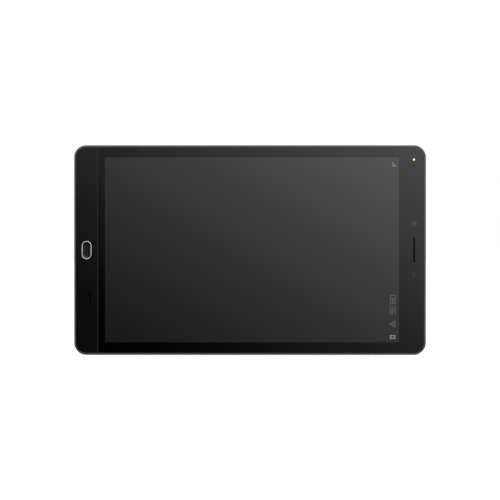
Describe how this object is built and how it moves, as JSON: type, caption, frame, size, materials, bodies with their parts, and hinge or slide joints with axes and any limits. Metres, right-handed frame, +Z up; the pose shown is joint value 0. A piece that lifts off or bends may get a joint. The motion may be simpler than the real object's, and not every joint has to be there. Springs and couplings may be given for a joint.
{
  "type": "data collector tablet",
  "caption": "Rugged survey data collector: slim touch-screen tablet with a ribbed back, a home button, side keys, a rear camera and a field of dock contacts.",
  "frame": {"origin": "middle of the lower long edge, which the tablet stands on", "axes": "+X along the length, from the home button to the cameras; +Y through the thickness, from the screen to the back; +Z up the width"},
  "size_m": [0.205, 0.01, 0.122],
  "materials": {
    "frame_paint": "fine matt texture",
    "chin_gloss": "gloss black",
    "cap_plastic": "fine matt texture",
    "cover_grey": "soft-touch ribbed grey",
    "band_grey": "fine matt texture",
    "black_rubber": "moulded",
    "screen_glass": "hardened cover glass",
    "display_film": "polished",
    "backlight": "white reflector in a thin frame",
    "ribbon": "polyimide",
    "bright_ring": "polished",
    "button_black": "gloss black",
    "sensor_black": "polished",
    "led_lime": "lit status lamp",
    "steel": "stamped",
    "mesh_black": "black mesh",
    "bezel_metal": "anodised dark grey",
    "lens_glass": "coated",
    "window_glass": "black printed glass",
    "flash_cream": "phosphor under a clear lens",
    "module_black": "black",
    "contact_gold": "gold plated",
    "board_green": "solder mask",
    "chip_black": "epoxy",
    "copper": "rolled copper",
    "cell_wrap": "black wrap",
    "key_plastic": "fine matt texture",
    "tray_metal": "anodised dark grey",
    "patch_ceramic": "fired"
  },
  "bodies": {
    "housing": {"mid_frame": "frame_paint", "chin_panel": "chin_gloss", "end_cap": "cap_plastic", "rear_cover": "cover_grey", "rear_band": "band_grey", "cover_gasket": "black_rubber", "cap_plugs": "black_rubber", "cap_screws": "steel", "cover_glass": "screen_glass", "display_gasket": "black_rubber", "touch_sensor": "display_film", "lcd_panel": "display_film", "backlight_unit": "backlight", "display_flex": "ribbon", "home_ring": "bright_ring", "home_switch": "steel", "sensor_flex": "ribbon", "status_led": "led_lime", "light_sensor": "sensor_black", "proximity_sensor": "sensor_black", "front_camera": "module_black", "earpiece_mesh": "mesh_black", "earpiece_receiver": "module_black", "camera_bezel": "bezel_metal", "island_seal": "black_rubber", "camera_window": "window_glass", "camera_module": "module_black", "camera_lens": "lens_glass", "flash_lens": "flash_cream", "contact_block": "module_black", "dock_contacts": "contact_gold", "contact_gasket": "black_rubber", "dock_flex": "ribbon", "main_board": "board_green", "board_screws": "steel", "shield_cans": "steel", "processor": "chip_black", "heat_spreader": "copper", "board_connectors": "chip_black", "link_flex": "ribbon", "battery": "cell_wrap", "battery_lead": "ribbon", "key_bracket": "steel", "side_key_flex": "ribbon", "sim_socket": "steel", "usb_board": "board_green", "usb_port": "steel", "door_pin": "steel", "microphone": "steel", "loudspeaker": "module_black", "speaker_mesh": "mesh_black", "vibration_motor": "steel", "gnss_antenna": "patch_ceramic", "radio_antenna": "module_black"},
    "home_button": {"home_button": "button_black", "fingerprint_sensor": "sensor_black"},
    "power_button": {"power_button": "key_plastic"},
    "volume_rocker": {"volume_rocker": "key_plastic"},
    "sim_tray": {"sim_tray": "tray_metal"},
    "usb_door": {"usb_door": "black_rubber"}
  },
  "joints": [
    {"name": "home_press", "type": "slide", "parent": "housing", "child": "home_button", "axis": [0, 1, 0], "range_m": [0, 0.00028], "stiffness_N_per_m": 2000},
    {"name": "power_press", "type": "slide", "parent": "housing", "child": "power_button", "axis": [0, 0, -1], "range_m": [0, 0.0004], "stiffness_N_per_m": 2000, "springref_m": -0.0001},
    {"name": "volume_rock", "type": "hinge", "parent": "housing", "child": "volume_rocker", "pos_m": [0.018, 0.0004, 0.11905], "axis": [0, 1, 0], "range_deg": [-1.5, 1.5], "stiffness_Nm_per_rad": 0.3},
    {"name": "tray_slide", "type": "slide", "parent": "housing", "child": "sim_tray", "axis": [0, 0, 1], "range_m": [0, 0.024]},
    {"name": "door_swing", "type": "hinge", "parent": "housing", "child": "usb_door", "pos_m": [-0.1019, 0.0028, 0.061], "axis": [0, 0, -1], "range_deg": [0, 100]}
  ]
}
